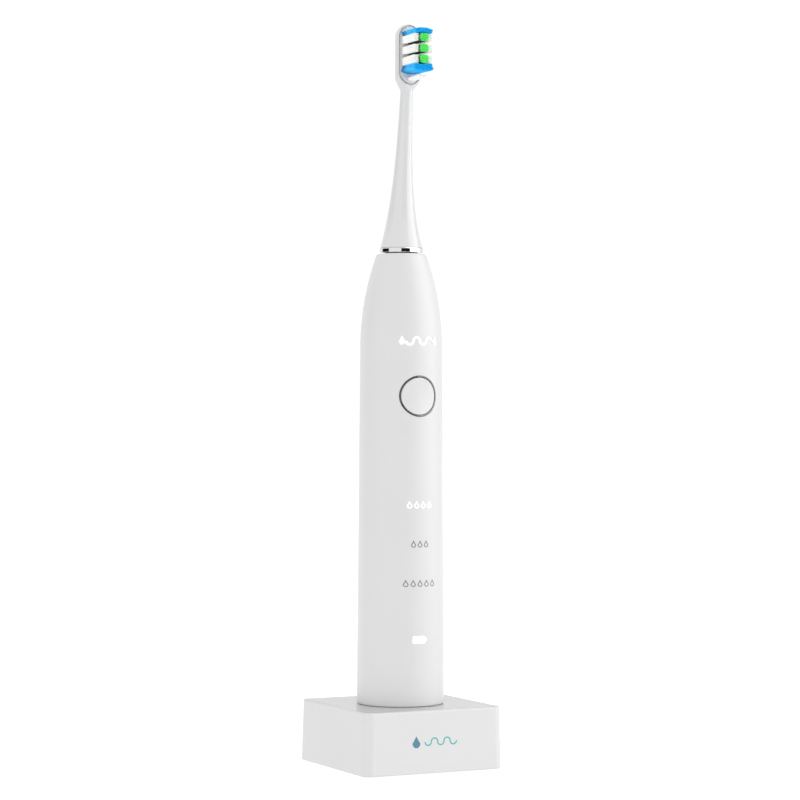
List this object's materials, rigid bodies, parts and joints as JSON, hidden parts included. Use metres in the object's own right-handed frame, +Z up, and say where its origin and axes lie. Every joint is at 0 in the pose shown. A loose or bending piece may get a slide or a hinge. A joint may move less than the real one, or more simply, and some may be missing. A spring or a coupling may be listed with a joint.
{
  "type": "electric toothbrush",
  "caption": "Sonic electric toothbrush standing on a square inductive charging base, with lift-off handle, push button and pull-off bristle head.",
  "frame": {"origin": "centre of the base's footprint, on the surface it stands on", "axes": "+Z up along the handle's axis, -Y forward towards the button and bristles, +Y towards the base's rear inlet"},
  "size_m": [0.051, 0.051, 0.2461],
  "materials": {
    "white_shell": "glossy moulded ABS",
    "white_matte": "matte moulded plastic",
    "gloss_plate": "mirror-gloss acrylic",
    "bright_ring": "polished plating",
    "steel": "plain steel",
    "ferrite": "sintered, matte",
    "magnet": "nickel-plated sintered",
    "copper": "enamelled copper wire",
    "natural_nylon": "unpainted nylon",
    "circuit_board": "solder mask over glass laminate",
    "black_parts": "moulded epoxy",
    "grey_rubber": "matte silicone rubber",
    "frame_grey": "glass-filled nylon",
    "battery_wrap": "shrink wrap",
    "led_lens": "clear resin",
    "bristle_white": "nylon filament",
    "bristle_green": "nylon filament",
    "bristle_blue": "nylon filament"
  },
  "bodies": {
    "charger": {"base_housing": "white_shell", "base_top_plate": "gloss_plate", "charging_post": "white_matte", "ferrite_core": "ferrite", "coil_bobbin": "natural_nylon", "primary_coil": "copper", "base_board": "circuit_board", "base_board_parts": "black_parts", "inlet_shell": "steel", "inlet_tongue": "black_parts", "bottom_cover": "white_matte", "base_screws": "steel", "rubber_feet": "grey_rubber"},
    "handle": {"handle_shell": "white_shell", "end_cap": "white_shell", "end_cap_seal": "grey_rubber", "receiver_bobbin": "natural_nylon", "receiver_coil": "copper", "inner_frame": "frame_grey", "battery_cell": "battery_wrap", "battery_tabs": "steel", "main_board": "circuit_board", "main_board_parts": "black_parts", "tact_switch": "steel", "indicator_leds": "led_lens", "light_guide": "frame_grey", "button_ring": "bright_ring", "button_gasket": "grey_rubber", "motor_can": "steel", "stator_core": "steel", "stator_coils": "copper", "rear_bearing": "natural_nylon", "front_bearing": "natural_nylon", "nose_support": "frame_grey", "shaft_seal": "grey_rubber"},
    "button": {"button_cap": "white_shell"},
    "drive": {"drive_shaft": "steel", "rotor_core": "steel", "rotor_magnets": "magnet", "torsion_bar": "steel"},
    "brush_head": {"head_ring": "bright_ring", "head_body": "white_shell", "head_coupler": "white_matte", "head_clip": "steel", "side_tufts": "bristle_white", "centre_tufts": "bristle_green", "foot_tuft": "bristle_white", "top_arc_tuft": "bristle_blue", "foot_arc_tuft": "bristle_blue"}
  },
  "joints": [
    {"name": "handle_lift", "type": "slide", "parent": "charger", "child": "handle", "axis": [0, 0, 1], "range_m": [0, 0.05]},
    {"name": "button_press", "type": "slide", "parent": "handle", "child": "button", "axis": [0, 1, 0], "range_m": [0, 0.0005], "stiffness_N_per_m": 3000, "springref_m": -0.0002},
    {"name": "shaft_swing", "type": "hinge", "parent": "handle", "child": "drive", "pos_m": [0, 0, 0.15], "axis": [0, 0, 1], "range_deg": [-5, 5], "stiffness_Nm_per_rad": 0.3},
    {"name": "head_pull", "type": "slide", "parent": "drive", "child": "brush_head", "axis": [0, 0, 1], "range_m": [0, 0.025]}
  ]
}
